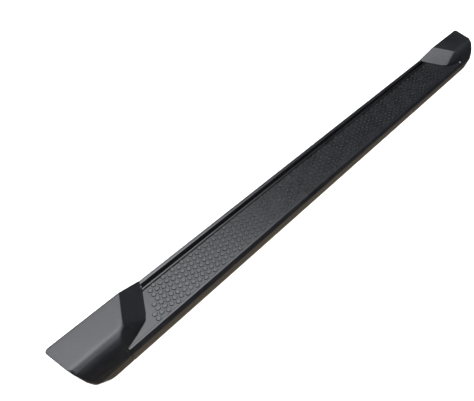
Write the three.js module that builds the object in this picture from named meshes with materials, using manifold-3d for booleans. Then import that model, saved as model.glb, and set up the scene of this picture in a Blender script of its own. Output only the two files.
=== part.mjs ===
// Running board for a truck or off-road vehicle: a hollow aluminium deck with a tread pad,
// faceted moulded end caps, and channel nuts that slide in two T-slots below the deck.
// Millimetres. +X runs along the board, +Y points to the vehicle, +Z is up.
// The origin is the centre of the footprint, at the height of the floor.
import * as THREE from "three";
import { ConvexGeometry } from "three/addons/geometries/ConvexGeometry.js";
import { mergeVertices } from "three/addons/utils/BufferGeometryUtils.js";
import Module from "manifold-3d";

const wasm = await Module();
wasm.setup();

// Driving dimensions
const DECK_HALF = 822; // half the length of the extrusion, cut square
const CAP_START = 823; // where the cap takes over the whole section
const OUTER_BOTTOM = -75; // outer edge at the floor
const OUTER_SHOULDER = -72.5; // outer edge where the side turns into the shoulder
const SHOULDER_Z = 28;
const TREAD_Z = 46; // top of the deck's outer lip
const PAD_TOP = 45.6;
const RAIL_INNER = 46.5;
const RAIL_OUTER = 56.5;
const RAIL_TOP = 48.5;
const CHANNEL_START = 36.5; // vehicle side of the tread's inner lip
const CHANNEL_FLOOR = 25;
const DECK_WALL_TOP = [60, 39]; // vehicle-side wall, below the rail's bevel
const DECK_WALL_BOTTOM = 63;
const DECK_BOTTOM = 4;
const WALL = 2.5;
const PAD_FLOOR = 41.5;
const PAD_EDGES = [-61, 32.4];
const PAD_KEY = 1.3; // how far the pad's edges reach under the lips
const PAD_KEY_Z = 43.7;
const GAP = 0.3;

const SLOT_CENTRES = { outer: -36, inner: 24 };
const SLOT_MOUTH = 9; // passes an M8 bolt
const SLOT_WIDTH = 18.6;
const SLOT_LIP_TOP = 7;
const SLOT_TOP = 15;
const SLOT_HOUSING = 24;

const BOSSES = [
  [-66, 12],
  [-55, 34],
  [55, 12],
  [40.5, 18],
];
const BOSS_RADIUS = 5.5;
const PILOT_RADIUS = 2.4;
const SHANK_RADIUS = 2.1;
const SCREW_CLEARANCE = 2.7;
const HEAD_RADIUS = 4.2;
const HEAD_HEIGHT = 2.8;

const GASKET_THICKNESS = 2;
const PLATE_THICKNESS = 2.5;
const PLATE_START = DECK_HALF + GAP + GASKET_THICKNESS + GAP;
const SHELF_LENGTH = 70;
const SHELF_HALF_WIDTH = 44;
const SHELF_BOTTOM = 8;
const POSTS = [
  [872, -20],
  [872, 30],
];
const POST_RADIUS = 6;

const CAP_TOP = 86;
const CAP_WALL = 2.5;
const CAP_CREASE_VEHICLE = 47; // vehicle-side edge of the flat top
const CAP_CREASE_OUTER = -26.5; // outer edge of the flat top
const CAP_SKIRT = 75; // vehicle side of the cap at the floor
const CAP_BAND = [71, 38]; // where the cap's steep side meets its lower band
const NOTCH = 829; // where the skirt has flared out to its full width
const RAMP_TOP_VEHICLE = 762;
const RAMP_TOP_OUTER = 804;
const RAMP_FOOT = [750, -37]; // outer corner of the ramp's foot
const BEVEL_TOP = 818;
const BEVEL_FOOT = [767, -43];
const BORDER_TIP = 838; // where the flat border beside the ramp runs out
const SLOPE_FOOT = -64.5; // foot of the cap's outer slope, on the shoulder's upper edge
const SLOPE_BULGE = 5; // how far the outer slope swells between its crease and its foot
const SLOPE_STEPS = 4;

// The end of the cap at four levels: the corner on the outer side and the one on the vehicle side.
// The whole end leans out towards the top.
const END_FLOOR = [
  { x: 905, y: OUTER_BOTTOM, z: 0, radius: 40 },
  { x: 944, y: CAP_SKIRT, z: 0, radius: 36 },
];
const END_BAND = [
  { x: 921, y: OUTER_SHOULDER, z: SHOULDER_Z, radius: 16 },
  { x: 951, y: CAP_BAND[0], z: CAP_BAND[1], radius: 28 },
];
const END_TREAD = [
  { x: 929, y: SLOPE_FOOT, z: TREAD_Z + GAP, radius: 12 },
  { x: 953, y: sideAt(TREAD_Z + GAP), z: TREAD_Z + GAP, radius: 24 },
];
const END_TOP = [
  { x: 945, y: CAP_CREASE_OUTER, z: CAP_TOP, radius: 3 },
  { x: 960, y: CAP_CREASE_VEHICLE, z: CAP_TOP, radius: 8 },
];

const NUT_SIZE = [24, 17.8, 6];
const NUT_HOLE_RADIUS = 4;
const NUT_STATIONS = { rear: -560, middle: 0, front: 560 };

// Materials
const finish = (color, roughness, metalness) =>
  new THREE.MeshStandardMaterial({ color, roughness, metalness });
const BLACK_COAT = finish(0x1d1e21, 0.5, 0.3);
const TREAD = finish(0x2a2b2f, 0.6, 0);
const CAP_PLASTIC = finish(0x26272b, 0.5, 0);
const FOAM = finish(0x151515, 0.95, 0);
const BLACK_STEEL = finish(0x2c2d30, 0.55, 0.6);
const ZINC = finish(0xb9bcc0, 0.4, 0.9);

// Joining and cutting
function toSolid(geometry) {
  const bare = geometry.clone();
  bare.deleteAttribute("normal");
  bare.deleteAttribute("uv");
  const merged = mergeVertices(bare, 1e-4);
  return new wasm.Manifold(
    new wasm.Mesh({
      numProp: 3,
      vertProperties: new Float32Array(merged.attributes.position.array),
      triVerts: new Uint32Array(merged.index.array),
    }),
  );
}

function toGeometry(solid) {
  const mesh = solid.getMesh();
  const geometry = new THREE.BufferGeometry();
  geometry.setAttribute("position", new THREE.BufferAttribute(mesh.vertProperties, 3));
  geometry.setIndex(new THREE.BufferAttribute(mesh.triVerts, 1));
  geometry.computeVertexNormals();
  return geometry;
}

function join(solids) {
  return solids.reduce((whole, piece) => whole.add(piece));
}

// Basic solids. A section is a list of [y, z] points, and runs from one X to another.
const ALONG_X = new THREE.Matrix4().makeBasis(
  new THREE.Vector3(0, 1, 0),
  new THREE.Vector3(0, 0, 1),
  new THREE.Vector3(1, 0, 0),
);

function prism(section, fromX, toX) {
  const outline = new THREE.Shape(section.map(([y, z]) => new THREE.Vector2(y, z)));
  const geometry = new THREE.ExtrudeGeometry(outline, { depth: toX - fromX, bevelEnabled: false });
  geometry.applyMatrix4(ALONG_X).translate(fromX, 0, 0);
  return toSolid(geometry);
}

function box(x, y, z) {
  const geometry = new THREE.BoxGeometry(x[1] - x[0], y[1] - y[0], z[1] - z[0]);
  geometry.translate((x[0] + x[1]) / 2, (y[0] + y[1]) / 2, (z[0] + z[1]) / 2);
  return toSolid(geometry);
}

function rodAlongX(radius, y, z, fromX, toX, sides = 16) {
  const geometry = new THREE.CylinderGeometry(radius, radius, toX - fromX, sides);
  geometry.rotateZ(-Math.PI / 2).translate((fromX + toX) / 2, y, z);
  return toSolid(geometry);
}

function rodAlongZ(radius, x, y, fromZ, toZ, sides = 16) {
  const geometry = new THREE.CylinderGeometry(radius, radius, toZ - fromZ, sides);
  geometry.rotateX(Math.PI / 2).translate(x, y, (fromZ + toZ) / 2);
  return toSolid(geometry);
}

function hull(points) {
  return toSolid(new ConvexGeometry(points.map((p) => new THREE.Vector3(...p))));
}

// A round corner at b, between the edges from a and to c, as [x, y] points.
function roundCorner(a, b, c, radius, steps) {
  const corner = new THREE.Vector2(...b);
  const back = new THREE.Vector2(...a).sub(corner).normalize();
  const ahead = new THREE.Vector2(...c).sub(corner).normalize();
  const half = Math.acos(back.dot(ahead)) / 2;
  const reach = radius / Math.tan(half);
  const centre = back.clone().add(ahead).normalize().multiplyScalar(radius / Math.sin(half));
  centre.add(corner);
  const start = corner.clone().addScaledVector(back, reach).sub(centre);
  const end = corner.clone().addScaledVector(ahead, reach).sub(centre);
  let sweep = end.angle() - start.angle();
  if (sweep > Math.PI) sweep -= 2 * Math.PI;
  if (sweep < -Math.PI) sweep += 2 * Math.PI;
  return Array.from({ length: steps + 1 }, (_, i) => {
    const angle = start.angle() + (sweep * i) / steps;
    return [centre.x + radius * Math.cos(angle), centre.y + radius * Math.sin(angle)];
  });
}

// Side of the cap between its top and its lower band
function sideAt(z) {
  const share = (CAP_TOP - z) / (CAP_TOP - CAP_BAND[1]);
  return CAP_CREASE_VEHICLE + share * (CAP_BAND[0] - CAP_CREASE_VEHICLE);
}

// Deck
function shoulderArc() {
  return roundCorner([OUTER_BOTTOM, 0], [OUTER_SHOULDER, SHOULDER_Z + 4], [SLOPE_FOOT, TREAD_Z], 12, 4);
}

function deckSection() {
  return [
    [OUTER_BOTTOM + 5, 0],
    [OUTER_BOTTOM + 7, DECK_BOTTOM],
    [DECK_WALL_BOTTOM - 1.5, DECK_BOTTOM],
    [DECK_WALL_BOTTOM, DECK_BOTTOM + 1.5],
    DECK_WALL_TOP,
    [RAIL_OUTER, RAIL_TOP - 1],
    [RAIL_OUTER - 1, RAIL_TOP],
    [RAIL_INNER + 0.6, RAIL_TOP],
    [RAIL_INNER, RAIL_TOP - 0.6],
    [RAIL_INNER, CHANNEL_FLOOR],
    [CHANNEL_START, CHANNEL_FLOOR],
    [CHANNEL_START, TREAD_Z],
    [PAD_EDGES[1], TREAD_Z],
    [PAD_EDGES[1], PAD_KEY_Z],
    [PAD_EDGES[1] + PAD_KEY, PAD_KEY_Z],
    [PAD_EDGES[1] + PAD_KEY, PAD_FLOOR],
    [PAD_EDGES[0] - PAD_KEY, PAD_FLOOR],
    [PAD_EDGES[0] - PAD_KEY, PAD_KEY_Z],
    [PAD_EDGES[0], PAD_KEY_Z],
    [PAD_EDGES[0], TREAD_Z],
    [SLOPE_FOOT, TREAD_Z],
    ...shoulderArc().reverse(),
    [OUTER_BOTTOM, 0],
  ];
}

function chamberSection() {
  const ceiling = PAD_FLOOR - WALL;
  const floor = DECK_BOTTOM + WALL;
  return [
    [OUTER_BOTTOM + WALL + 1.4, floor],
    [DECK_WALL_BOTTOM - WALL - 0.4, floor],
    [DECK_WALL_TOP[0] - WALL, DECK_WALL_TOP[1] - 1],
    [RAIL_OUTER - WALL, RAIL_TOP - WALL],
    [RAIL_INNER + WALL, RAIL_TOP - WALL],
    [RAIL_INNER + WALL, CHANNEL_FLOOR - WALL],
    [CHANNEL_START - WALL, CHANNEL_FLOOR - WALL],
    [CHANNEL_START - WALL, ceiling],
    [PAD_EDGES[0] - 1, ceiling],
    [OUTER_SHOULDER + WALL + 0.6, SHOULDER_Z - 1],
  ];
}

function deckExtrusion() {
  const x = [-DECK_HALF, DECK_HALF];
  const past = [-DECK_HALF - 1, DECK_HALF + 1];
  const slots = Object.values(SLOT_CENTRES);
  const kept = join([
    ...slots.map((y) => box(x, [y - SLOT_HOUSING / 2, y + SLOT_HOUSING / 2], [5, SLOT_TOP + WALL])),
    ...slots.map((y) => box(x, [y - WALL / 2, y + WALL / 2], [SLOT_TOP, PAD_FLOOR - 1])),
    ...BOSSES.map(([y, z]) => rodAlongX(BOSS_RADIUS, y, z, ...past)),
  ]);
  const chambers = prism(chamberSection(), ...past).subtract(kept);
  const cuts = join([
    ...slots.map((y) => box(past, [y - SLOT_WIDTH / 2, y + SLOT_WIDTH / 2], [SLOT_LIP_TOP, SLOT_TOP])),
    ...slots.map((y) => box(past, [y - SLOT_MOUTH / 2, y + SLOT_MOUTH / 2], [0, SLOT_TOP - 1])),
    ...BOSSES.map(([y, z]) => rodAlongX(PILOT_RADIUS, y, z, ...past)),
  ]);
  return prism(deckSection(), ...x).subtract(chambers).subtract(cuts);
}

// Tread pad, plain here: its edges key under the deck's lips
function treadPad() {
  const [outer, inner] = [PAD_EDGES[0] + GAP, PAD_EDGES[1] - GAP];
  const floor = PAD_FLOOR + GAP;
  const key = PAD_KEY_Z - GAP;
  return prism(
    [
      [outer - PAD_KEY, floor],
      [inner + PAD_KEY, floor],
      [inner + PAD_KEY, key],
      [inner, key],
      [inner, PAD_TOP],
      [outer, PAD_TOP],
      [outer, key],
      [outer - PAD_KEY, key],
    ],
    -DECK_HALF,
    DECK_HALF,
  );
}

// End hardware, all drawn at the +X end
function plateSection() {
  return [
    [-67, SHELF_BOTTOM - 2.5],
    [58.5, SHELF_BOTTOM - 2.5],
    [56, 38],
    [34, 38],
    [34, 40.5],
    [-60, 40.5],
    [-69, 28],
    [-70.8, 8],
  ];
}

function bossHoles(fromX, toX) {
  return join(BOSSES.map(([y, z]) => rodAlongX(SCREW_CLEARANCE, y, z, fromX, toX)));
}

function endGasket() {
  const start = DECK_HALF + GAP;
  const end = start + GASKET_THICKNESS;
  return prism(plateSection(), start, end).subtract(bossHoles(start - 1, end + 1));
}

function endPlate() {
  const end = PLATE_START + PLATE_THICKNESS;
  const shelfX = [PLATE_START + 1, PLATE_START + SHELF_LENGTH];
  const shelfY = [-SHELF_HALF_WIDTH, SHELF_HALF_WIDTH];
  const shelf = box(shelfX, shelfY, [SHELF_BOTTOM, SHELF_BOTTOM + PLATE_THICKNESS]);
  const holes = POSTS.map(([x, y]) => rodAlongZ(SCREW_CLEARANCE, x, y, 0, 20));
  return prism(plateSection(), PLATE_START, end)
    .add(shelf)
    .subtract(bossHoles(PLATE_START - 1, end + 1))
    .subtract(join(holes));
}

// A pan-head self-tapping screw, pointing along +Y, with the underside of its head at the origin
function screwGeometry(length) {
  const profile = [
    [0, -HEAD_HEIGHT],
    [HEAD_RADIUS * 0.7, -HEAD_HEIGHT],
    [HEAD_RADIUS, -HEAD_HEIGHT * 0.45],
    [HEAD_RADIUS, 0],
    [SHANK_RADIUS, 0],
    [SHANK_RADIUS, length - 3],
    [0, length],
  ];
  return new THREE.LatheGeometry(profile.map(([r, y]) => new THREE.Vector2(r, y)), 12);
}

// The round-cornered end of the cap at one level, seen from above. `inset` draws it in for the hollow.
function endLevel(inset, [outer, vehicle], z) {
  const outerCorner = [outer.x - inset, outer.y + inset];
  const vehicleCorner = [vehicle.x - inset, vehicle.y - inset];
  const inboard = CAP_START - 10;
  const outerArc = roundCorner([inboard, outerCorner[1]], outerCorner, vehicleCorner, outer.radius, 5);
  const vehicleArc = roundCorner(outerCorner, vehicleCorner, [inboard, vehicleCorner[1]], vehicle.radius, 5);
  return [
    ...outerArc.map((p) => [...p, z ?? outer.z]),
    ...vehicleArc.map((p) => [...p, z ?? vehicle.z]),
  ];
}

// Part of the cap below the tread, with the deck's own shoulder on its outer side
function capBase(inset) {
  const hollow = inset > 0;
  const start = hollow ? DECK_HALF - 8 : CAP_START;
  const floor = hollow ? -1 : 0;
  const top = TREAD_Z + GAP + 0.1;
  const wallStart = DECK_WALL_BOTTOM - 1.6 * inset;
  const sideTop = sideAt(top);
  return hull([
    ...endLevel(inset, END_FLOOR, floor),
    ...endLevel(inset, END_BAND),
    ...endLevel(inset, END_TREAD, top),
    ...shoulderArc().map(([y, z]) => [start, y + inset, Math.min(z, top)]),
    [start, OUTER_BOTTOM + inset, floor],
    [start, SLOPE_FOOT + inset, top],
    [start, wallStart, floor],
    [start, wallStart - 3, CAP_BAND[1]],
    [start, wallStart - 4, top],
    [NOTCH + inset, CAP_SKIRT - inset, floor],
    [NOTCH + inset, CAP_BAND[0] - inset, CAP_BAND[1]],
    [NOTCH + inset, sideTop - inset, top],
  ]);
}

// The outer slope's levels between its foot and its crease, swollen outwards, from the bevel to the end
function slopeLevels(inset) {
  const between = (a, b, share) => a + share * (b - a);
  const [outerFoot, vehicleFoot] = END_TREAD;
  const [outerTop, vehicleTop] = END_TOP;
  const points = [];
  for (let i = 1; i < SLOPE_STEPS; i++) {
    const share = i / SLOPE_STEPS;
    const swell = 4 * share * (1 - share) * SLOPE_BULGE * Math.SQRT1_2;
    const y = between(outerFoot.y, outerTop.y, share) - swell;
    const z = between(outerFoot.z, outerTop.z, share) + swell;
    const across = (z - vehicleFoot.z) / (vehicleTop.z - vehicleFoot.z);
    const outer = {
      x: between(outerFoot.x, outerTop.x, share),
      y,
      radius: between(outerFoot.radius, outerTop.radius, share),
    };
    const vehicle = {
      x: between(vehicleFoot.x, vehicleTop.x, across),
      y: sideAt(z),
      radius: between(vehicleFoot.radius, vehicleTop.radius, across),
    };
    const level = z - 0.6 * inset;
    points.push(...endLevel(inset, [outer, vehicle], level));
    points.push([between(BORDER_TIP, BEVEL_TOP, share) + inset, y + inset, level]);
  }
  return points;
}

// Part of the cap above the tread: the flat top, and the ramp that lies over the pad and the rail
function capUpper(inset) {
  const foot = TREAD_Z + GAP - 1.2 * inset;
  const top = CAP_TOP - inset;
  const back = 2 * inset; // the ramp's slope makes its inset longer along X
  const a = new THREE.Vector3(RAMP_TOP_VEHICLE, CAP_CREASE_VEHICLE, CAP_TOP);
  const b = new THREE.Vector3(RAMP_TOP_OUTER, CAP_CREASE_OUTER + 2.5, CAP_TOP);
  const c = new THREE.Vector3(...RAMP_FOOT, TREAD_Z + GAP);
  const ramp = new THREE.Plane().setFromCoplanarPoints(a, b, c);
  const onRamp = (y, z) => -(ramp.constant + ramp.normal.y * y + ramp.normal.z * z) / ramp.normal.x;
  const sideFoot = sideAt(TREAD_Z + GAP);
  return hull([
    [a.x + back, a.y - inset, top],
    [b.x + back, b.y + inset, top],
    [BEVEL_TOP + inset, CAP_CREASE_OUTER + 0.4 + inset, top],
    ...endLevel(inset, END_TOP, top),
    ...slopeLevels(inset),
    [onRamp(RAIL_OUTER, RAIL_TOP) + back, RAIL_OUTER - inset, RAIL_TOP - inset],
    [onRamp(RAIL_OUTER, TREAD_Z + GAP) + back, RAIL_OUTER - inset, foot],
    [onRamp(CHANNEL_START, TREAD_Z) + back, CHANNEL_START - inset, foot],
    [RAMP_FOOT[0] + back, RAMP_FOOT[1] + inset, foot],
    [BEVEL_FOOT[0] + inset, BEVEL_FOOT[1] + inset, foot],
    [BORDER_TIP + inset, SLOPE_FOOT + inset, foot],
    [NOTCH, sideFoot - inset, foot],
    ...endLevel(inset, END_TREAD, foot),
  ]);
}

function endCap() {
  const outside = capBase(0).add(capUpper(0));
  const hollow = capBase(CAP_WALL).add(capUpper(CAP_WALL));
  const posts = join(
    POSTS.map(([x, y]) => rodAlongZ(POST_RADIUS, x, y, SHELF_BOTTOM + PLATE_THICKNESS + GAP, CAP_TOP - 1)),
  );
  const pilots = join(POSTS.map(([x, y]) => rodAlongZ(PILOT_RADIUS, x, y, 0, 34)));
  const stopperX = [RAMP_TOP_VEHICLE - 58, RAMP_TOP_VEHICLE - 30];
  const channelY = [CHANNEL_START + GAP, RAIL_INNER - GAP];
  const stopper = box(stopperX, channelY, [CHANNEL_FLOOR + 3, TREAD_Z + 4]);
  const railRoom = box([600, CAP_START], [RAIL_INNER - GAP, 90], [0, RAIL_TOP + GAP]);
  return outside
    .subtract(hollow)
    .add(posts)
    .subtract(pilots)
    .subtract(railRoom)
    .add(stopper);
}

// Channel nut: a chamfered plate with a hole for an M8 bolt
function slideNutGeometry() {
  const [length, width, height] = NUT_SIZE;
  const chamfer = 2;
  const outline = new THREE.Shape();
  outline.moveTo(-length / 2 + chamfer, -width / 2);
  outline.lineTo(length / 2 - chamfer, -width / 2);
  outline.lineTo(length / 2, -width / 2 + chamfer);
  outline.lineTo(length / 2, width / 2 - chamfer);
  outline.lineTo(length / 2 - chamfer, width / 2);
  outline.lineTo(-length / 2 + chamfer, width / 2);
  outline.lineTo(-length / 2, width / 2 - chamfer);
  outline.lineTo(-length / 2, -width / 2 + chamfer);
  const hole = new THREE.Path();
  hole.absarc(0, 0, NUT_HOLE_RADIUS, 0, 2 * Math.PI, true);
  outline.holes.push(hole);
  return new THREE.ExtrudeGeometry(outline, { depth: height, bevelEnabled: false, curveSegments: 8 });
}

// Assembly
function named(name, geometry, material) {
  const mesh = new THREE.Mesh(geometry, material);
  mesh.name = name;
  return mesh;
}

const shapes = {
  cap: toGeometry(endCap()),
  plate: toGeometry(endPlate()),
  gasket: toGeometry(endGasket()),
  plateScrew: screwGeometry(22),
  capScrew: screwGeometry(20),
  nut: slideNutGeometry(),
};

// Everything at one end. The rear end is the front one mirrored.
function endSet(end, side) {
  const set = new THREE.Group();
  set.scale.x = side;
  set.add(named("end_cap_" + end, shapes.cap, CAP_PLASTIC));
  set.add(named("end_plate_" + end, shapes.plate, BLACK_STEEL));
  set.add(named("end_gasket_" + end, shapes.gasket, FOAM));
  BOSSES.forEach(([y, z], i) => {
    const screw = named("plate_screw_" + end + "_" + (i + 1), shapes.plateScrew, ZINC);
    screw.position.set(PLATE_START + PLATE_THICKNESS + GAP, y, z);
    screw.rotation.z = Math.PI / 2;
    set.add(screw);
  });
  POSTS.forEach(([x, y], i) => {
    const screw = named("cap_screw_" + end + "_" + (i + 1), shapes.capScrew, ZINC);
    screw.position.set(x, y, SHELF_BOTTOM - GAP);
    screw.rotation.x = Math.PI / 2;
    set.add(screw);
  });
  return set;
}

const runningBoard = new THREE.Group();
runningBoard.add(named("deck_extrusion", toGeometry(deckExtrusion()), BLACK_COAT));
runningBoard.add(named("tread_pad", toGeometry(treadPad()), TREAD));
runningBoard.add(endSet("front", 1));
runningBoard.add(endSet("rear", -1));
for (const [row, y] of Object.entries(SLOT_CENTRES)) {
  for (const [station, x] of Object.entries(NUT_STATIONS)) {
    const nut = named("slide_nut_" + row + "_" + station, shapes.nut, ZINC);
    nut.position.set(x, y, SLOT_LIP_TOP + GAP);
    runningBoard.add(nut);
  }
}

export default runningBoard;
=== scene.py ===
import math

import bmesh
import bpy
from mathutils import Matrix, Vector


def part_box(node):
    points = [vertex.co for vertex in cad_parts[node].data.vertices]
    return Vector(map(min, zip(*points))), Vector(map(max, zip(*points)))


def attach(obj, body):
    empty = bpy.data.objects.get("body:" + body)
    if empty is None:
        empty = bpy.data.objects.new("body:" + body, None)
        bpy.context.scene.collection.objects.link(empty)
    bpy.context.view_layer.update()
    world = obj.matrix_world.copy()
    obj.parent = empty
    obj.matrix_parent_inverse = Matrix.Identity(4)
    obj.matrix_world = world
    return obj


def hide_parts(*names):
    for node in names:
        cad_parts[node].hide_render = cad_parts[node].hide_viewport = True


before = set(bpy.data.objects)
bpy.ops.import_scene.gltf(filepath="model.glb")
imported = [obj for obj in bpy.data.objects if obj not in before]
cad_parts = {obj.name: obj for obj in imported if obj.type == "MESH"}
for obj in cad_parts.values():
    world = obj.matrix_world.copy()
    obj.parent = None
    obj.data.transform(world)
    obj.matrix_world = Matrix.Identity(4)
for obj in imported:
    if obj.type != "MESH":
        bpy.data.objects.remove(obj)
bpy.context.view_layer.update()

ENDS = {"front": 1, "rear": -1}
BOARD = "board"

# Tread pattern: oval bumps in columns across the pad, every other column half a pitch over
COLUMN_PITCH = 0.01549
ROW_PITCH = 0.01389
COLUMNS = 95
ROWS = 6
FIRST_ROW = 0.0083  # from the pad's outer edge to the first row of bumps
BUMP_HALF = (0.0066, 0.0057)
BUMP_HEIGHT = 0.0027
BUMP_RINGS = [  # share of the bump's half size, share of its height
    (1.08, 0),
    (1.03, 0),
    (1.005, 0.04),
    (0.985, 0.2),
    (0.965, 0.62),
    (0.94, 0.84),
    (0.89, 0.96),
    (0.81, 1.0),
    (0.74, 1.0),
]
BUMP_SIDES = 16  # as many as cell_rim gives points
BUMP_CLEAR = 0.0185  # no bump stands closer than this to the ramp
PAD_KEY = 0.0013  # how far the pad reaches under each lip
PAD_KEY_TOP = 0.0434
PAD_EDGE = 0.0004
PAD_GROOVE = [  # distance in from the pad's inner edge, depth below its top
    (0.0036, 0),
    (0.0030, 0.0012),
    (0.0024, 0.0018),
    (0.0018, 0.0016),
    (0.0005, 0.0003),
    (0, 0.0006),
]
RAMP_FOOT_INNER = (0.7068, 0.036)  # two points (x, y) of the line where a ramp meets the tread
RAMP_FOOT_OUTER = (0.750, -0.037)

# Edges of the extruded deck
FILLET = 0.0005
LIP_FILLETS = {  # corner (y, z) of each lip beside the tread: its radius
    (-0.0645, 0.046): 0.005,
    (0.0324, 0.046): 0.0012,
}
CURVE_TURN = math.radians(35)  # a smaller turn than this is a step of a round stretch
STRAIGHT = math.radians(179.5)
FILLET_STEPS = 3
LIP_STEPS = 8

# End caps
CAP_VOXEL = 0.0009
CAP_SMOOTHING = 14
CAP_JOINT = (0.8222, 0.8242)  # the rim that faces the deck's end
CAP_JOINT_TOP = 0.049
CAP_CLOSE_UP = 0.0007  # moves that rim against the deck's end
SOFT_SMOOTHING = 260
SOFT_LINES = [  # from, to, reach: where the cap's surface is rounded most
    (Vector((0.822, -0.0265, 0.086)), Vector((0.930, -0.0265, 0.086)), 0.016),
    (Vector((0.835, -0.0490, 0.069)), Vector((0.915, -0.0490, 0.069)), 0.026),
    (Vector((0.760, -0.0395, 0.048)), Vector((0.811, -0.0255, 0.085)), 0.022),
    (Vector((0.824, -0.0625, 0.0463)), Vector((0.838, -0.0645, 0.0463)), 0.007),
]

# Fasteners
HEAD_RADIUS = 0.0042
HEAD_HEIGHT = 0.0028
SHANK_RADIUS = 0.0021
THREAD_DEPTH = 0.0004
SCREW_PITCH = 0.0016
THREAD_STEPS = 8  # rows of points in each pitch of a screw
SCREW_SIDES = 28
SCREW_TIP = 0.004  # the larger it is, the longer the point
HEAD_PROFILE = [  # share of the head's radius, share of its height
    (0, 1),
    (0.35, 1),
    (0.62, 0.97),
    (0.8, 0.88),
    (0.93, 0.7),
    (1, 0.45),
    (1, 0.1),
    (0.97, 0),
]
RECESS_REACH = 0.0022
RECESS_HALF_WIDTH = 0.0005
RECESS_DEPTH = 0.0016
RECESS_MOUTH = 1.1  # share of the recess's size just outside the head
RECESS_FLOOR = 0.55
CUTTER_MARGIN = 0.0005
NUT_THREAD_PITCH = 0.00125
NUT_THREAD_ROOT = 0.004
NUT_THREAD_CREST = 0.0036
NUT_MOUTH = 0.0005  # countersink round the thread's two ends
NUT_CORNER = 0.002
NUT_EDGE = 0.0004
NUT_SIDES = 56
NUT_THREAD_ROWS = 36

# Edges of the stamped plates and gaskets
PLATE_BEVEL = 0.0003
PLATE_BEVEL_LIMIT = math.radians(40)

# Finishes
NOISE_SPAN = (0.3, 0.7)  # the range that a noise texture mostly stays in
# A painted reflection of a brown ground on the lowest band of the walls: browner and a little rougher
# towards the bottom
PAINTED_REFLECTION_HEIGHTS = (0.002, 0.030)
PAINTED_REFLECTION_COLOR = (0.030, 0.021, 0.012)
LOW_BAND_DULLS = 0.16

# Floor, wall and lights
FLOOR_RADIUS = 14
FLOOR_GAP = 0.0005
FLOOR_GLOW = 0.4
COVE_RADIUS = 3
COVE_STEPS = 8
BACKDROP_HEIGHT = 12
BACKDROP_SIDES = 96
SKY_LIGHTS = [  # name, direction to it, spread in degrees, strength, colour
    ("overhead", (0.02, 0.12, 1.0), 56, 4.2, (0.97, 0.985, 1.03)),
    ("side", (0.28, -0.56, 0.78), 20, 0.95, (0.95, 0.97, 1.05)),
    ("far", (0.97, -0.05, 0.17), 16, 0.06, (0.9, 0.95, 1.05)),
]
SKY_COLOR = (0.034, 0.037, 0.045, 1)
GROUND_COLOR = (0.42, 0.34, 0.24, 1)  # seen in the lower walls, instead of the floor
GROUND_BLEND = (-0.2, -0.7)

# Camera
CAMERA_PLACE = Vector((-0.93671, -0.42976, 1.04740))
CAMERA_FORWARD = Vector((0.47157, 0.39111, -0.79035)).normalized()
CAMERA_ROLL = math.radians(5.615)
CAMERA_LENS = 33.24
SENSOR_WIDTH = 36


# Mesh helpers

def linked(name, data):
    obj = bpy.data.objects.new(name, data)
    bpy.context.scene.collection.objects.link(obj)
    return obj


def evaluated_mesh(obj):
    graph = bpy.context.evaluated_depsgraph_get()
    graph.update()
    return bpy.data.meshes.new_from_object(obj.evaluated_get(graph))


def applied(obj):
    """The object's mesh with its modifiers applied. The object itself is removed."""
    mesh = evaluated_mesh(obj)
    bpy.data.objects.remove(obj)
    return mesh


def smooth(mesh, degrees):
    """Smooth shading, with a sharp edge wherever the surface turns by more than this."""
    mesh.shade_smooth()
    mesh.set_sharp_from_angle(angle=math.radians(degrees))
    return mesh


def mirrored(mesh):
    """The rear end's copy of a front-end mesh."""
    copy = mesh.copy()
    copy.transform(Matrix.Scale(-1, 4, (1, 0, 0)))
    copy.flip_normals()
    return copy


def piece(mesh, node, material, body=BOARD, place=None):
    """Shows a finished mesh in place of one CAD node."""
    obj = linked(node + "_fine", mesh)
    if place is not None:
        obj.matrix_world = place
    if not mesh.materials:
        mesh.materials.append(material)
    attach(obj, body)
    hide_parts(node)
    return obj


class Weld:
    """Collects faces given by their corner points, and joins corners that coincide."""

    def __init__(self):
        self.points = []
        self.index = {}
        self.faces = []

    def corner(self, point):
        key = tuple(round(c * 1e6) for c in point)
        if key not in self.index:
            self.index[key] = len(self.points)
            self.points.append(point)
        return self.index[key]

    def face(self, points):
        ring = [self.corner(p) for p in points]
        self.faces.append([v for i, v in enumerate(ring) if v != ring[i - 1]])

    def mesh(self, name):
        mesh = bpy.data.meshes.new(name)
        mesh.from_pydata(self.points, [], self.faces)
        mesh.update()
        return mesh


def revolved(name, rows, angles, closed):
    """A surface round the Z axis. Each row gives a radius and a height for an angle.
    If closed, the last row joins the first."""
    weld = Weld()

    def point(row, angle):
        radius, height = row(angle)
        return (radius * math.cos(angle), radius * math.sin(angle), height)

    pairs = list(zip(rows, rows[1:] + rows[:1])) if closed else list(zip(rows, rows[1:]))
    for low, high in pairs:
        for a, b in zip(angles, angles[1:] + angles[:1]):
            weld.face([point(low, a), point(low, b), point(high, b), point(high, a)])
    return weld.mesh(name)


# Deck

def section_loops(node):
    """The outlines of a prism's +X end face, as lists of (y, z)."""
    bm = bmesh.new()
    bm.from_mesh(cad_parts[node].data)
    bmesh.ops.remove_doubles(bm, verts=bm.verts, dist=1e-6)
    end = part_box(node)[1].x
    faces = {f for f in bm.faces if all(abs(v.co.x - end) < 1e-5 for v in f.verts)}
    rim = [e for e in bm.edges if sum(f in faces for f in e.link_faces) == 1]
    following = {}
    for edge in rim:
        for v in edge.verts:
            following.setdefault(v, []).append(edge.other_vert(v))
    loops, seen = [], set()
    for start in following:
        if start in seen:
            continue
        loop, previous, here = [], None, start
        while here not in seen:
            seen.add(here)
            loop.append((here.co.y, here.co.z))
            ahead = [v for v in following[here] if v is not previous]
            previous, here = here, ahead[0]
        loops.append(loop)
    bm.free()
    return loops


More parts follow.
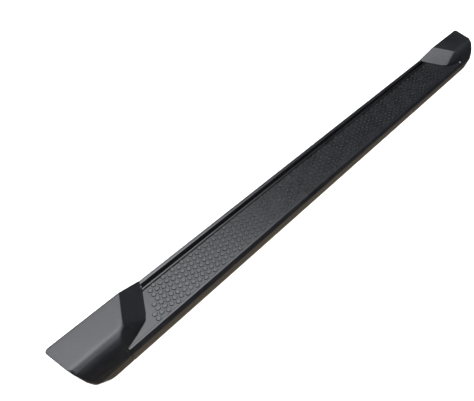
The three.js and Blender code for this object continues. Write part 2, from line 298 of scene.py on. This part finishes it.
def filleted(loop):
    """Rounds every corner of an outline: slightly at sharp corners, fully along round stretches."""
    points = [Vector(p) for p in loop]
    kept = []
    for i, here in enumerate(points):
        back = (points[i - 1] - here).normalized()
        ahead = (points[(i + 1) % len(points)] - here).normalized()
        if back.angle(ahead) < STRAIGHT:
            kept.append(here)
    rounded = []
    for i, here in enumerate(kept):
        to_back = kept[i - 1] - here
        to_ahead = kept[(i + 1) % len(kept)] - here
        turn = math.pi - to_back.angle(to_ahead)
        room = 0.48 * min(to_back.length, to_ahead.length)
        reach = room if turn < CURVE_TURN else min(room, FILLET * math.tan(turn / 2))
        steps = FILLET_STEPS
        for lip, radius in LIP_FILLETS.items():
            if (here - Vector(lip)).length < 1e-4:
                reach = radius * math.tan(turn / 2)
                steps = LIP_STEPS
        start = here + to_back.normalized() * reach
        end = here + to_ahead.normalized() * reach
        for k in range(steps + 1):
            t = k / steps
            rounded.append(start * (1 - t) ** 2 + here * 2 * t * (1 - t) + end * t * t)
    return rounded


def deck_mesh():
    lo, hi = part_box("deck_extrusion")
    curve = bpy.data.curves.new("deck_section", "CURVE")
    curve.dimensions = "2D"
    curve.fill_mode = "BOTH"
    curve.extrude = (hi.x - lo.x) / 2
    for loop in section_loops("deck_extrusion"):
        points = filleted(loop)
        spline = curve.splines.new("POLY")
        spline.points.add(len(points) - 1)
        spline.use_cyclic_u = True
        for target, p in zip(spline.points, points):
            target.co = (p.x, p.y, 0, 1)
    mesh = applied(linked("deck_section", curve))
    mesh.transform(Matrix(((0, 0, 1, 0), (1, 0, 0, 0), (0, 1, 0, 0), (0, 0, 0, 1))))
    bm = bmesh.new()
    bm.from_mesh(mesh)
    bmesh.ops.remove_doubles(bm, verts=bm.verts, dist=1e-7)
    bmesh.ops.recalc_face_normals(bm, faces=bm.faces)
    bm.to_mesh(mesh)
    bm.free()
    return smooth(mesh, 40)


# Tread pad

def ramp_foot(y):
    """Where the ramp's foot line lies at y, as a distance from the middle of the board."""
    share = (RAMP_FOOT_INNER[1] - y) / (RAMP_FOOT_INNER[1] - RAMP_FOOT_OUTER[1])
    return RAMP_FOOT_INNER[0] + share * (RAMP_FOOT_OUTER[0] - RAMP_FOOT_INNER[0])


def cell_rim(x, y, half_x, half_y):
    """Sixteen points round a cell, from the middle of its +X side."""
    signs = [(1, 0), (1, 0.5), (1, 1), (0.5, 1), (0, 1), (-0.5, 1), (-1, 1), (-1, 0.5)]
    signs += [(-a, -b) for a, b in signs]
    return [(x + a * half_x, y + b * half_y) for a, b in signs]


def bump_cell(weld, x, y, top):
    """One cell of the tread with its bump."""
    rims = [[(px, py, top) for px, py in cell_rim(x, y, COLUMN_PITCH / 2, ROW_PITCH / 2)]]
    for share, rise in BUMP_RINGS:
        rims.append([
            (
                x + share * BUMP_HALF[0] * math.cos(2 * math.pi * k / BUMP_SIDES),
                y + share * BUMP_HALF[1] * math.sin(2 * math.pi * k / BUMP_SIDES),
                top + rise * BUMP_HEIGHT,
            )
            for k in range(BUMP_SIDES)
        ])
    for outer, inner in zip(rims, rims[1:]):
        for k in range(BUMP_SIDES):
            j = (k + 1) % BUMP_SIDES
            weld.face([outer[k], outer[j], inner[j], inner[k]])
    weld.face(rims[-1])


def tread_mesh():
    lo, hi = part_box("tread_pad")
    outer, inner, top = lo.y + PAD_KEY, hi.y - PAD_KEY, hi.z
    weld = Weld()
    step_x, step_y = COLUMN_PITCH / 4, ROW_PITCH / 4
    first_x = -(COLUMNS - 1) / 2 * COLUMN_PITCH
    first_y = outer + FIRST_ROW
    low_y = first_y - ROW_PITCH / 2
    stations_x = [first_x - 2 * step_x + k * step_x for k in range(4 * COLUMNS + 1)]
    stations_y = [low_y + k * step_y for k in range(4 * ROWS + 3)]

    for column in range(COLUMNS):
        x = first_x + column * COLUMN_PITCH
        odd = column % 2
        for row in range(ROWS):
            y = first_y + (row + odd / 2) * ROW_PITCH
            if abs(x) < ramp_foot(y) - BUMP_CLEAR:
                bump_cell(weld, x, y, top)
            else:
                weld.face([(px, py, top) for px, py in cell_rim(x, y, COLUMN_PITCH / 2, ROW_PITCH / 2)])
        half_low = stations_y[0] if odd else stations_y[-3]
        columns = [x + k * step_x for k in range(-2, 3)]
        ring = [(px, half_low) for px in columns]
        ring += [(columns[-1], half_low + step_y)]
        ring += [(px, half_low + 2 * step_y) for px in reversed(columns)]
        ring += [(columns[0], half_low + step_y)]
        weld.face([(px, py, top) for px, py in ring])

    all_x = [lo.x, *stations_x, hi.x]
    margin = [[(outer, top - PAD_EDGE), (outer + PAD_EDGE, top), (stations_y[0], top)]]
    groove = [(inner - back, top - drop) for back, drop in PAD_GROOVE]
    margin.append([(stations_y[-1], top), *groove])
    under = [
        groove[-1],
        (inner, PAD_KEY_TOP),
        (hi.y, PAD_KEY_TOP),
        (hi.y, lo.z),
        (lo.y, lo.z),
        (lo.y, PAD_KEY_TOP),
        (outer, PAD_KEY_TOP),
        (outer, top - PAD_EDGE),
    ]
    for strip in [*margin, under]:
        for a, b in zip(strip, strip[1:]):
            for x0, x1 in zip(all_x, all_x[1:]):
                weld.face([(x0, *a), (x1, *a), (x1, *b), (x0, *b)])
    for x0, x1 in ((lo.x, stations_x[0]), (stations_x[-1], hi.x)):
        for y0, y1 in zip(stations_y, stations_y[1:]):
            weld.face([(x0, y0, top), (x1, y0, top), (x1, y1, top), (x0, y1, top)])
    outline = under + [(outer + PAD_EDGE, top)] + [(y, top) for y in stations_y] + groove[:-1]
    weld.face([(hi.x, *p) for p in outline])
    weld.face([(lo.x, *p) for p in reversed(outline)])
    mesh = weld.mesh("tread")
    bm = bmesh.new()
    bm.from_mesh(mesh)
    bmesh.ops.recalc_face_normals(bm, faces=bm.faces)
    bm.to_mesh(mesh)
    bm.free()
    return smooth(mesh, 50)


# End caps

def softness(point):
    """1 on the cap's soft lines, falling to 0 at their reach."""
    best = 0.0
    for start, end, reach in SOFT_LINES:
        run = end - start
        share = min(1.0, max(0.0, (point - start).dot(run) / run.length_squared))
        distance = (point - start - run * share).length
        best = max(best, 1 - distance / reach)
    return best


def cap_mesh():
    cap = linked("cap_work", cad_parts["end_cap_front"].data.copy())
    remesh = cap.modifiers.new("remesh", "REMESH")
    remesh.mode = "VOXEL"
    remesh.voxel_size = CAP_VOXEL
    cap = linked("cap_work", applied(cap))
    group = cap.vertex_groups.new(name="soft")
    for v in cap.data.vertices:
        weight = softness(v.co)
        if weight > 0:
            group.add([v.index], math.sqrt(weight), "REPLACE")
    even = cap.modifiers.new("even", "SMOOTH")
    even.factor = 0.5
    even.iterations = CAP_SMOOTHING
    soft = cap.modifiers.new("soft", "SMOOTH")
    soft.factor = 0.5
    soft.iterations = SOFT_SMOOTHING
    soft.vertex_group = group.name
    mesh = applied(cap)
    for v in mesh.vertices:
        if CAP_JOINT[0] < v.co.x < CAP_JOINT[1] and v.co.z < CAP_JOINT_TOP:
            v.co.x -= CAP_CLOSE_UP
    mesh.materials.clear()
    mesh.shade_smooth()
    return mesh


# Fasteners

def thread_rise(phase):
    """Height of a thread, as a share of its depth, across one pitch."""
    return max(0.0, 1 - abs(phase % 1 - 0.5) / 0.3)


def cross_cutter():
    """A tapered cross, for the recess in a screw head."""
    reach, half = RECESS_REACH, RECESS_HALF_WIDTH
    quarter = [(reach, -half), (reach, half), (half, half)]
    outline = []
    for k in range(4):
        c, s = round(math.cos(k * math.pi / 2)), round(math.sin(k * math.pi / 2))
        outline += [(c * x - s * y, s * x + c * y) for x, y in quarter]
    weld = Weld()
    low = [(x * RECESS_MOUTH, y * RECESS_MOUTH, -HEAD_HEIGHT - CUTTER_MARGIN) for x, y in outline]
    high = [(x * RECESS_FLOOR, y * RECESS_FLOOR, -HEAD_HEIGHT + RECESS_DEPTH) for x, y in outline]
    weld.face(list(reversed(low)))
    weld.face(high)
    for k in range(len(outline)):
        j = (k + 1) % len(outline)
        weld.face([low[k], low[j], high[j], high[k]])
    return weld.mesh("cross")


def screw_mesh(length):
    """A pan-head tapping screw pointing along +Z, with the underside of its head at the origin."""
    angles = [2 * math.pi * k / SCREW_SIDES for k in range(SCREW_SIDES)]
    rows = [lambda a, r=r, h=h: (HEAD_RADIUS * r, -HEAD_HEIGHT * h) for r, h in HEAD_PROFILE]
    core = SHANK_RADIUS - THREAD_DEPTH
    rows.append(lambda a: (core, 0.0))
    steps = round(length / SCREW_PITCH * THREAD_STEPS)
    for k in range(1, steps):
        z = length * k / steps
        taper = min(1.0, 0.25 + (length - z) / SCREW_TIP)
        rows.append(
            lambda a, z=z, taper=taper: (
                taper * (core + THREAD_DEPTH * thread_rise(z / SCREW_PITCH - a / (2 * math.pi))),
                z,
            )
        )
    rows.append(lambda a: (0, length))
    screw = linked("screw_work", revolved("screw", rows, angles, False))
    cutter = linked("cross_work", cross_cutter())
    cut = screw.modifiers.new("recess", "BOOLEAN")
    cut.operation = "DIFFERENCE"
    cut.solver = "EXACT"
    cut.object = cutter
    mesh = applied(screw)
    bpy.data.objects.remove(cutter)
    return smooth(mesh, 38)


def nut_mesh(size):
    """A channel nut with an internal thread, standing on the origin."""
    half_x, half_y, height = size.x / 2, size.y / 2, size.z
    corner_sum = half_x + half_y - NUT_CORNER

    def edge(angle):
        c, s = abs(math.cos(angle)), abs(math.sin(angle))
        return min(half_x / max(c, 1e-9), half_y / max(s, 1e-9), corner_sum / (c + s))

    corners = [(half_x, half_y - NUT_CORNER), (half_x - NUT_CORNER, half_y)]
    signs = [(1, 1), (1, -1), (-1, 1), (-1, -1)]
    turns = [math.atan2(sy * y, sx * x) % (2 * math.pi) for x, y in corners for sx, sy in signs]
    turns += [2 * math.pi * k / NUT_SIDES for k in range(NUT_SIDES)]
    angles = sorted({round(a, 6) for a in turns})
    mouth = NUT_THREAD_ROOT + NUT_MOUTH
    thread_depth = NUT_THREAD_ROOT - NUT_THREAD_CREST
    rows = [
        lambda a: (mouth, 0),
        lambda a: (edge(a) - NUT_EDGE, 0),
        lambda a: (edge(a) - 0.3 * NUT_EDGE, 0.3 * NUT_EDGE),
        lambda a: (edge(a), NUT_EDGE),
        lambda a: (edge(a), height - NUT_EDGE),
        lambda a: (edge(a) - 0.3 * NUT_EDGE, height - 0.3 * NUT_EDGE),
        lambda a: (edge(a) - NUT_EDGE, height),
        lambda a: (mouth, height),
    ]
    for k in range(NUT_THREAD_ROWS + 1):
        z = height - NUT_EDGE - (height - 2 * NUT_EDGE) * k / NUT_THREAD_ROWS
        rows.append(
            lambda a, z=z: (
                NUT_THREAD_ROOT - thread_depth * thread_rise(z / NUT_THREAD_PITCH - a / (2 * math.pi)),
                z,
            )
        )
    return smooth(revolved("nut", rows, angles, True), 35)


# Materials

class Nodes:
    """A material's node tree, with short calls for the nodes that the finishes share."""

    def __init__(self, name):
        self.material = bpy.data.materials.new(name)
        self.material.use_nodes = True
        self.tree = self.material.node_tree
        self.shader = self.tree.nodes["Principled BSDF"]
        coordinates = self.add("ShaderNodeTexCoord")
        self.place = coordinates.outputs["Object"]

    def add(self, kind, **settings):
        node = self.tree.nodes.new(kind)
        for name, value in settings.items():
            setattr(node, name, value)
        return node

    def link(self, source, target):
        self.tree.links.new(source, target)

    def scaled(self, x, y, z):
        node = self.add("ShaderNodeVectorMath", operation="MULTIPLY")
        self.link(self.place, node.inputs[0])
        node.inputs[1].default_value = (x, y, z)
        return node.outputs[0]

    def noise(self, scale, detail=3.0, rough=0.5, place=None):
        node = self.add("ShaderNodeTexNoise")
        node.inputs["Scale"].default_value = scale
        node.inputs["Detail"].default_value = detail
        node.inputs["Roughness"].default_value = rough
        self.link(place or self.place, node.inputs["Vector"])
        return node.outputs["Fac"]

    def cells(self, scale, feature="F1"):
        node = self.add("ShaderNodeTexVoronoi", feature=feature)
        node.inputs["Scale"].default_value = scale
        self.link(self.place, node.inputs["Vector"])
        return node.outputs["Distance"]

    def ranged(self, value, low, high, to_low, to_high):
        node = self.add("ShaderNodeMapRange")
        self.link(value, node.inputs["Value"])
        for name, number in zip(("From Min", "From Max", "To Min", "To Max"), (low, high, to_low, to_high)):
            node.inputs[name].default_value = number
        return node.outputs["Result"]

    def spread(self, noise, to_low, to_high):
        """A noise texture's value, brought to a range."""
        return self.ranged(noise, *NOISE_SPAN, to_low, to_high)

    def math(self, operation, a, b):
        node = self.add("ShaderNodeMath", operation=operation)
        for socket, value in zip(node.inputs, (a, b)):
            if isinstance(value, (int, float)):
                socket.default_value = value
            else:
                self.link(value, socket)
        return node.outputs[0]

    def mixed(self, share, a, b):
        node = self.add("ShaderNodeMix", data_type="RGBA")
        self.link(share, node.inputs[0])
        for socket, value in ((node.inputs[6], a), (node.inputs[7], b)):
            if isinstance(value, tuple):
                socket.default_value = (*value, 1)
            else:
                self.link(value, socket)
        return node.outputs[2]

    def mottled(self, noise, dark, light):
        """A colour that drifts between two others with a noise texture."""
        return self.mixed(self.spread(noise, 0.0, 1.0), dark, light)

    def bump(self, height, distance, normal=None):
        node = self.add("ShaderNodeBump")
        node.inputs["Strength"].default_value = 1.0
        node.inputs["Distance"].default_value = distance
        self.link(height, node.inputs["Height"])
        if normal is not None:
            self.link(normal, node.inputs["Normal"])
        return node.outputs["Normal"]

    def wear(self, radius, low, high):
        """1 along worn edges and 0 on open faces, broken up by noise."""
        soft = self.add("ShaderNodeBevel", samples=4)
        soft.inputs["Radius"].default_value = radius
        geometry = self.add("ShaderNodeNewGeometry")
        dot = self.add("ShaderNodeVectorMath", operation="DOT_PRODUCT")
        self.link(soft.outputs[0], dot.inputs[0])
        self.link(geometry.outputs["Normal"], dot.inputs[1])
        edge = self.ranged(dot.outputs["Value"], 1 - low, 1 - high, 0.0, 1.0)
        broken = self.ranged(self.noise(260, 4.0, 0.65), 0.42, 0.62, 0.25, 1.0)
        return self.math("MULTIPLY", edge, broken)

    def painted_ground_reflection(self, color, roughness):
        """Paints a reflection of a brown ground on the lowest band, fading out upwards, and makes that band
        a little rougher.
        """
        height = self.add("ShaderNodeSeparateXYZ")
        self.link(self.place, height.inputs[0])
        low = self.ranged(height.outputs["Z"], *PAINTED_REFLECTION_HEIGHTS, 1.0, 0.0)
        painted_reflection = self.math("MULTIPLY", low, self.spread(self.noise(45, 4.0, 0.6), 0.55, 1.0))
        dull = self.math("MULTIPLY", painted_reflection, LOW_BAND_DULLS)
        # the colour is a painted reflection of a brown ground; the added roughness dulls the band
        return self.mixed(painted_reflection, color, PAINTED_REFLECTION_COLOR), self.math("ADD", roughness, dull)

    def finish(self, color, roughness, normal, metallic=0.0, ior=1.5):
        self.link(color, self.shader.inputs["Base Color"])
        self.link(roughness, self.shader.inputs["Roughness"])
        self.link(normal, self.shader.inputs["Normal"])
        self.shader.inputs["Metallic"].default_value = metallic
        self.shader.inputs["IOR"].default_value = ior
        return self.material


def cap_plastic():
    """Moulded black plastic with a fine leather grain."""
    n = Nodes("cap_plastic")
    mottle = n.noise(14, 4.0, 0.6)
    grain = n.cells(950, "DISTANCE_TO_EDGE")
    fine = n.noise(2600, 2.0, 0.5)
    color = n.mottled(mottle, (0.0034, 0.0036, 0.0046), (0.0062, 0.0065, 0.0078))
    color = n.mixed(n.wear(0.0012, 0.01, 0.12), color, (0.03, 0.031, 0.034))
    scuffs = n.ranged(n.noise(420, 5.0, 0.7), 0.35, 0.7, -0.05, 0.06)
    roughness = n.math("ADD", n.spread(mottle, 0.30, 0.36), scuffs)
    # painted reflection of a brown ground, strongest at the bottom
    color, roughness = n.painted_ground_reflection(color, roughness)
    normal = n.bump(n.ranged(grain, 0.0, 0.25, 0.0, 1.0), 0.00005)
    normal = n.bump(fine, 0.00003, normal)
    return n.finish(color, roughness, normal, ior=1.53)


def powder_coat():
    """Satin powder coat over an extrusion: fine orange peel and faint drawing lines along the board."""
    n = Nodes("black_coat")
    mottle = n.noise(9, 3.0, 0.55)
    lines = n.noise(1, 2.0, 0.5, n.scaled(3, 900, 900))
    peel = n.noise(1300, 2.0, 0.5)
    color = n.mottled(mottle, (0.0034, 0.0036, 0.0046), (0.0064, 0.0067, 0.0080))
    color = n.mixed(n.wear(0.0008, 0.01, 0.12), color, (0.04, 0.041, 0.043))
    roughness = n.math("ADD", n.spread(lines, -0.03, 0.03), n.spread(mottle, 0.29, 0.35))
    # painted reflection of a brown ground, strongest at the bottom
    color, roughness = n.painted_ground_reflection(color, roughness)
    normal = n.bump(lines, 0.000012)
    normal = n.bump(peel, 0.00003, normal)
    return n.finish(color, roughness, normal, ior=1.62)


def tread_rubber():
    """Moulded tread: satin, finely stippled; the raised parts of the bumps are lighter and a little
    glossier.
    """
    n = Nodes("tread")
    mottle = n.noise(22, 4.0, 0.6)
    stipple = n.noise(1900, 2.0, 0.55)
    height = n.add("ShaderNodeSeparateXYZ")
    n.link(n.place, height.inputs[0])
    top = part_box("tread_pad")[1].z
    raised = n.ranged(height.outputs["Z"], top + 0.0002, top + BUMP_HEIGHT, 0.0, 1.0)
    base = n.mottled(mottle, (0.0040, 0.0042, 0.0052), (0.0075, 0.0078, 0.0092))
    color = n.mixed(n.math("MULTIPLY", raised, 0.5), base, (0.010, 0.0104, 0.012))
    roughness = n.math("SUBTRACT", n.spread(mottle, 0.30, 0.36), n.math("MULTIPLY", raised, 0.05))
    normal = n.bump(stipple, 0.00004)
    return n.finish(color, roughness, normal)


def zinc_plate():
    """Bright zinc: a faint crystalline mottling with bluish and straw tints."""
    n = Nodes("zinc")
    tint = n.noise(120, 3.0, 0.6)
    spangle = n.cells(1400)
    color = n.mixed(n.ranged(tint, 0.35, 0.65, 0.0, 1.0), (0.56, 0.58, 0.62), (0.66, 0.63, 0.55))
    color = n.mixed(n.wear(0.0004, 0.02, 0.2), color, (0.75, 0.75, 0.74))
    roughness = n.spread(n.noise(700, 4.0, 0.6), 0.26, 0.42)
    normal = n.bump(spangle, 0.00002)
    return n.finish(color, roughness, normal, metallic=1.0)


def e_coat():
    """Black dip coat on a stamped steel plate, thin at the sheared edges."""
    n = Nodes("black_steel")
    mottle = n.noise(60, 4.0, 0.6)
    peel = n.noise(1500, 2.0, 0.5)
    color = n.mottled(mottle, (0.016, 0.016, 0.018), (0.028, 0.028, 0.030))
    color = n.mixed(n.wear(0.0008, 0.02, 0.2), color, (0.10, 0.095, 0.09))
    roughness = n.spread(mottle, 0.34, 0.5)
    normal = n.bump(peel, 0.00004)
    return n.finish(color, roughness, normal)


def closed_cell_foam():
    """Black gasket foam with tiny cells."""
    n = Nodes("foam")
    cell = n.cells(1500)
    mottle = n.noise(200, 3.0, 0.6)
    color = n.mottled(mottle, (0.008, 0.008, 0.008), (0.018, 0.018, 0.018))
    roughness = n.spread(mottle, 0.85, 0.98)
    normal = n.bump(cell, 0.00025)
    return n.finish(color, roughness, normal)


def floor_paint():
    """Plain pale paint, with nothing behind it, so that the underside can be seen from below."""
    n = Nodes("floor")
    color = n.mottled(n.noise(3, 3.0, 0.5), (0.86, 0.85, 0.835), (0.88, 0.87, 0.855))
    roughness = n.spread(n.noise(25, 3.0, 0.5), 0.7, 0.8)
    normal = n.bump(n.noise(300, 2.0, 0.5), 0.00005)
    n.shader.inputs["Emission Color"].default_value = (1, 1, 1, 1)
    n.shader.inputs["Emission Strength"].default_value = FLOOR_GLOW
    n.finish(color, roughness, normal)
    side = n.add("ShaderNodeNewGeometry")
    open_side = n.add("ShaderNodeMixShader")
    n.link(side.outputs["Backfacing"], open_side.inputs[0])
    n.link(n.shader.outputs[0], open_side.inputs[1])
    n.link(n.add("ShaderNodeBsdfTransparent").outputs[0], open_side.inputs[2])
    n.link(open_side.outputs[0], n.tree.nodes["Material Output"].inputs["Surface"])
    return n.material


# The object

CAP_PLASTIC = cap_plastic()
BLACK_COAT = powder_coat()
TREAD = tread_rubber()
ZINC = zinc_plate()
BLACK_STEEL = e_coat()
FOAM = closed_cell_foam()

piece(deck_mesh(), "deck_extrusion", BLACK_COAT)
piece(tread_mesh(), "tread_pad", TREAD)
front_cap = cap_mesh()
piece(front_cap, "end_cap_front", CAP_PLASTIC)
piece(mirrored(front_cap), "end_cap_rear", CAP_PLASTIC)

for end in ENDS:
    for node, material in ((f"end_plate_{end}", BLACK_STEEL), (f"end_gasket_{end}", FOAM)):
        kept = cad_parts[node]
        kept.data.materials.clear()
        kept.data.materials.append(material)
        bevel = kept.modifiers.new("edges", "BEVEL")
        bevel.width = PLATE_BEVEL
        bevel.segments = 2
        bevel.limit_method = "ANGLE"
        bevel.angle_limit = PLATE_BEVEL_LIMIT

plate_lo, plate_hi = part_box("plate_screw_front_1")
plate_screw = screw_mesh(plate_hi.x - plate_lo.x - HEAD_HEIGHT)
post_lo, post_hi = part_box("cap_screw_front_1")
cap_screw = screw_mesh(post_hi.z - post_lo.z - HEAD_HEIGHT)
for end, side in ENDS.items():
    for number in range(1, 5):
        node = f"plate_screw_{end}_{number}"
        lo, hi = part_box(node)
        head = hi.x if side > 0 else lo.x
        place = Matrix.Translation((head - side * HEAD_HEIGHT, (lo.y + hi.y) / 2, (lo.z + hi.z) / 2))
        turn = Matrix.Rotation(-side * math.pi / 2, 4, "Y") @ Matrix.Rotation(0.4 * number, 4, "Z")
        piece(plate_screw, node, ZINC, place=place @ turn)
    for number in range(1, 3):
        node = f"cap_screw_{end}_{number}"
        lo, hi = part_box(node)
        place = Matrix.Translation(((lo.x + hi.x) / 2, (lo.y + hi.y) / 2, lo.z + HEAD_HEIGHT))
        piece(cap_screw, node, ZINC, place=place @ Matrix.Rotation(0.6 * number, 4, "Z"))

nut_lo, nut_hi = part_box("slide_nut_outer_front")
nut = nut_mesh(nut_hi - nut_lo)
for row in ("outer", "inner"):
    for station in ("rear", "middle", "front"):
        node = f"slide_nut_{row}_{station}"
        lo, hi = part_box(node)
        place = Matrix.Translation(((lo.x + hi.x) / 2, (lo.y + hi.y) / 2, lo.z))
        piece(nut, node, ZINC, body=f"nut_{row}_{station}", place=place)


# Floor, light and camera

def backdrop_mesh():
    """A round floor that curves up into a wall all round, facing inwards."""
    rise = [k * math.pi / (2 * COVE_STEPS) for k in range(COVE_STEPS + 1)]
    profile = [(0, 0)]
    profile += [
        (FLOOR_RADIUS + COVE_RADIUS * math.sin(t), COVE_RADIUS * (1 - math.cos(t)))
        for t in rise
    ]
    profile += [(FLOOR_RADIUS + COVE_RADIUS, BACKDROP_HEIGHT)]
    rows = [lambda a, r=r, z=z: (r, z) for r, z in profile]
    turns = [2 * math.pi * k / BACKDROP_SIDES for k in range(BACKDROP_SIDES)]
    mesh = revolved("floor", rows, turns, False)
    mesh.flip_normals()
    mesh.shade_smooth()
    return mesh


def sky_light(name, direction, spread, strength, color):
    """A broad soft light from one direction, the same all over the floor."""
    lamp = bpy.data.lights.new(name, "SUN")
    lamp.energy = strength
    lamp.angle = math.radians(spread)
    lamp.color = color
    obj = linked(name, lamp)
    obj.rotation_euler = Vector(direction).to_track_quat("Z", "Y").to_euler()


def studio_world():
    """Dim sky above, and the warm light of the ground from steeply below."""
    world = bpy.data.worlds.new("studio")
    world.use_nodes = True
    tree = world.node_tree
    direction = tree.nodes.new("ShaderNodeTexCoord")
    height = tree.nodes.new("ShaderNodeSeparateXYZ")
    below = tree.nodes.new("ShaderNodeMapRange")
    tint = tree.nodes.new("ShaderNodeMix")
    tint.data_type = "RGBA"
    tree.links.new(direction.outputs["Generated"], height.inputs[0])
    tree.links.new(height.outputs["Z"], below.inputs["Value"])
    below.inputs["From Min"].default_value, below.inputs["From Max"].default_value = GROUND_BLEND
    tree.links.new(below.outputs["Result"], tint.inputs[0])
    tint.inputs[6].default_value = SKY_COLOR
    tint.inputs[7].default_value = GROUND_COLOR
    tree.links.new(tint.outputs[2], tree.nodes["Background"].inputs["Color"])
    return world


floor = linked("floor", backdrop_mesh())
floor.location.z = -FLOOR_GAP
floor.data.materials.append(floor_paint())
floor.visible_glossy = False  # black walls would mirror it as grey
floor.visible_shadow = False  # the lights pass through it

for light in SKY_LIGHTS:
    sky_light(*light)
bpy.context.scene.world = studio_world()

camera = linked("camera", bpy.data.cameras.new("camera"))
camera.data.lens = CAMERA_LENS
camera.data.sensor_width = SENSOR_WIDTH
camera.data.clip_start = 0.01
right = CAMERA_FORWARD.cross(Vector((0, 0, 1))).normalized()
up = right.cross(CAMERA_FORWARD)
tilted_right = math.cos(CAMERA_ROLL) * right + math.sin(CAMERA_ROLL) * up
tilted_up = -math.sin(CAMERA_ROLL) * right + math.cos(CAMERA_ROLL) * up
axes = Matrix((tilted_right, tilted_up, -CAMERA_FORWARD)).transposed()
camera.matrix_world = Matrix.Translation(CAMERA_PLACE) @ axes.to_4x4()
bpy.context.scene.camera = camera
bpy.context.scene.view_settings.view_transform = "Standard"
